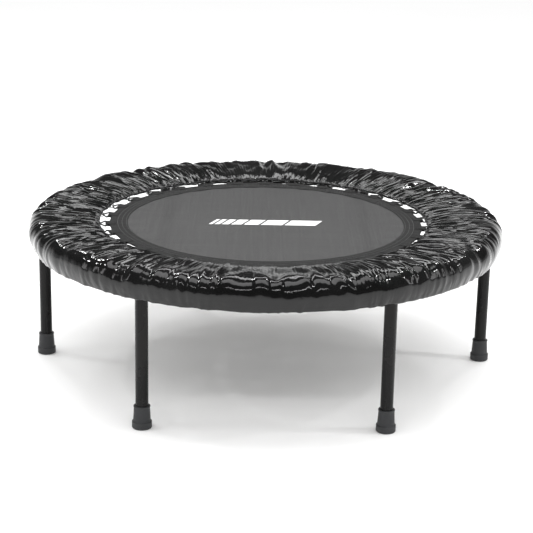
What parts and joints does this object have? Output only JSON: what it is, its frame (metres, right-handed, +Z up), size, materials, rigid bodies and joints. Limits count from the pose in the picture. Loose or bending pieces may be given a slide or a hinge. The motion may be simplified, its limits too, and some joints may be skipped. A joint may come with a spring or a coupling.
{
  "type": "mini trampoline",
  "caption": "Round mini trampoline: woven mat hung on springs inside a padded tube ring, on screw-on legs with rubber feet.",
  "frame": {"origin": "on the floor, below the centre of the mat", "axes": "+Z up, -Y towards the front of the printed mat, +X through the first leg"},
  "size_m": [0.9928, 0.9928, 0.318],
  "materials": {
    "frame_steel": "satin black powder coat",
    "zinc_steel": "bright zinc plate",
    "foot_rubber": "matt charcoal",
    "woven_mat": "woven polypropylene, dull sheen",
    "webbing": "ribbed black webbing",
    "thread": "waxed thread",
    "print_ink": "flat white screen print",
    "pad_foam": "open-cell foam",
    "cover_film": "glossy crumpled vinyl",
    "elastic_cord": "braided black elastic"
  },
  "bodies": {
    "frame": {"frame_ring": "frame_steel", "leg_mount_1": "frame_steel", "leg_mount_2": "frame_steel", "leg_mount_3": "frame_steel", "leg_mount_4": "frame_steel", "leg_mount_5": "frame_steel", "leg_mount_6": "frame_steel", "spring_eyes": "frame_steel", "springs": "zinc_steel", "pad_foam_1": "pad_foam", "pad_foam_2": "pad_foam", "pad_foam_3": "pad_foam", "pad_foam_4": "pad_foam", "pad_foam_5": "pad_foam", "pad_foam_6": "pad_foam", "pad_cover": "cover_film", "inner_cord": "elastic_cord", "outer_cord": "elastic_cord"},
    "bed": {"mat": "woven_mat", "mat_border": "webbing", "border_stitching": "thread", "mat_print": "print_ink", "ring_loops": "webbing", "v_rings": "zinc_steel"},
    "leg_1": {"leg_tube_1": "frame_steel", "leg_insert_1": "zinc_steel", "leg_foot_1": "foot_rubber"},
    "leg_2": {"leg_tube_2": "frame_steel", "leg_insert_2": "zinc_steel", "leg_foot_2": "foot_rubber"},
    "leg_3": {"leg_tube_3": "frame_steel", "leg_insert_3": "zinc_steel", "leg_foot_3": "foot_rubber"},
    "leg_4": {"leg_tube_4": "frame_steel", "leg_insert_4": "zinc_steel", "leg_foot_4": "foot_rubber"},
    "leg_5": {"leg_tube_5": "frame_steel", "leg_insert_5": "zinc_steel", "leg_foot_5": "foot_rubber"},
    "leg_6": {"leg_tube_6": "frame_steel", "leg_insert_6": "zinc_steel", "leg_foot_6": "foot_rubber"}
  },
  "joints": [
    {"name": "mat_bounce", "type": "slide", "parent": "frame", "child": "bed", "axis": [0, 0, 1], "range_m": [-0.08, 0], "stiffness_N_per_m": 6000, "springref_m": 0.002, "deforming": ["springs"]},
    {"name": "leg_1_screw", "type": "hinge", "parent": "frame", "child": "leg_1", "pos_m": [0.47, 0, 0.26], "axis": [0, 0, 1], "range_deg": [-5040, 0]},
    {"name": "leg_2_screw", "type": "hinge", "parent": "frame", "child": "leg_2", "pos_m": [0.235, 0.40703, 0.26], "axis": [0, 0, 1], "range_deg": [-5040, 0]},
    {"name": "leg_3_screw", "type": "hinge", "parent": "frame", "child": "leg_3", "pos_m": [-0.235, 0.40703, 0.26], "axis": [0, 0, 1], "range_deg": [-5040, 0]},
    {"name": "leg_4_screw", "type": "hinge", "parent": "frame", "child": "leg_4", "pos_m": [-0.47, 0, 0.26], "axis": [0, 0, 1], "range_deg": [-5040, 0]},
    {"name": "leg_5_screw", "type": "hinge", "parent": "frame", "child": "leg_5", "pos_m": [-0.235, -0.40703, 0.26], "axis": [0, 0, 1], "range_deg": [-5040, 0]},
    {"name": "leg_6_screw", "type": "hinge", "parent": "frame", "child": "leg_6", "pos_m": [0.235, -0.40703, 0.26], "axis": [0, 0, 1], "range_deg": [-5040, 0]}
  ]
}
